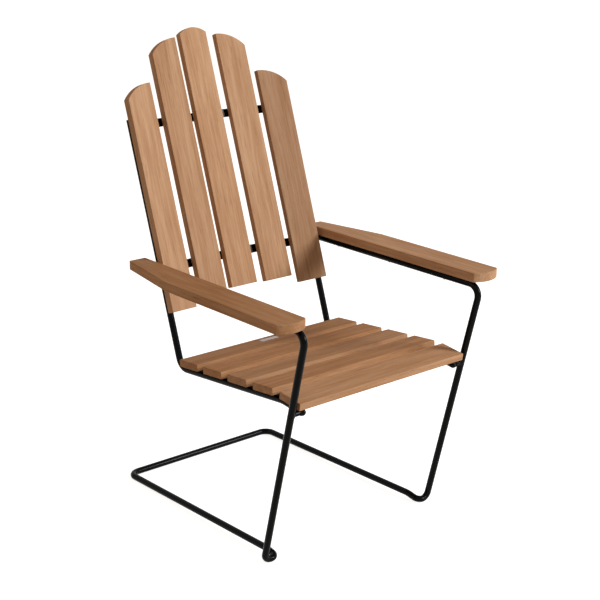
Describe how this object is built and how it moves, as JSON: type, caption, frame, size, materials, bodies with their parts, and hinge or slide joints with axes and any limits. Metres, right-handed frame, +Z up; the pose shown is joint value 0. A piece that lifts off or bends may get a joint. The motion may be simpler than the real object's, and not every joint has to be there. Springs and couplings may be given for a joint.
{
  "type": "sprung garden armchair",
  "caption": "High-backed garden armchair: wooden slats and arms on a sprung frame bent from round steel rod.",
  "frame": {"origin": "on the floor at the middle of the chair's footprint", "axes": "+Z up; the chair faces -Y, so a sitter looks along -Y; +X is the sitter's left; the rear cross of the base is at +Y"},
  "size_m": [0.6624, 0.743, 1.119],
  "materials": {
    "frame_steel": "semi-gloss black powder coat",
    "slat_wood": "oiled hardwood, satin",
    "screw_steel": "plain stainless"
  },
  "bodies": {
    "root": {"base_rod": "frame_steel", "side_rod_left": "frame_steel", "side_rod_right": "frame_steel", "upper_crossbar": "frame_steel", "lower_crossbar": "frame_steel", "seat_strip_left": "frame_steel", "seat_strip_right": "frame_steel", "leg_link_left": "frame_steel", "arm_link_left": "frame_steel", "leg_link_right": "frame_steel", "arm_link_right": "frame_steel", "back_slat_1": "slat_wood", "back_slat_2": "slat_wood", "back_slat_3": "slat_wood", "back_slat_4": "slat_wood", "back_slat_5": "slat_wood", "seat_slat_1": "slat_wood", "seat_slat_2": "slat_wood", "seat_slat_3": "slat_wood", "seat_slat_4": "slat_wood", "seat_slat_5": "slat_wood", "armrest_left": "slat_wood", "armrest_right": "slat_wood", "back_screw_upper_1": "screw_steel", "back_screw_upper_2": "screw_steel", "back_screw_upper_3": "screw_steel", "back_screw_upper_4": "screw_steel", "back_screw_upper_5": "screw_steel", "back_screw_lower_1": "screw_steel", "back_screw_lower_2": "screw_steel", "back_screw_lower_3": "screw_steel", "back_screw_lower_4": "screw_steel", "back_screw_lower_5": "screw_steel", "seat_screw_left_1": "screw_steel", "seat_screw_left_2": "screw_steel", "seat_screw_left_3": "screw_steel", "seat_screw_left_4": "screw_steel", "seat_screw_left_5": "screw_steel", "seat_screw_right_1": "screw_steel", "seat_screw_right_2": "screw_steel", "seat_screw_right_3": "screw_steel", "seat_screw_right_4": "screw_steel", "seat_screw_right_5": "screw_steel", "arm_screw_left_1": "screw_steel", "arm_screw_left_2": "screw_steel", "arm_screw_left_3": "screw_steel", "arm_screw_right_1": "screw_steel", "arm_screw_right_2": "screw_steel", "arm_screw_right_3": "screw_steel"}
  },
  "joints": []
}
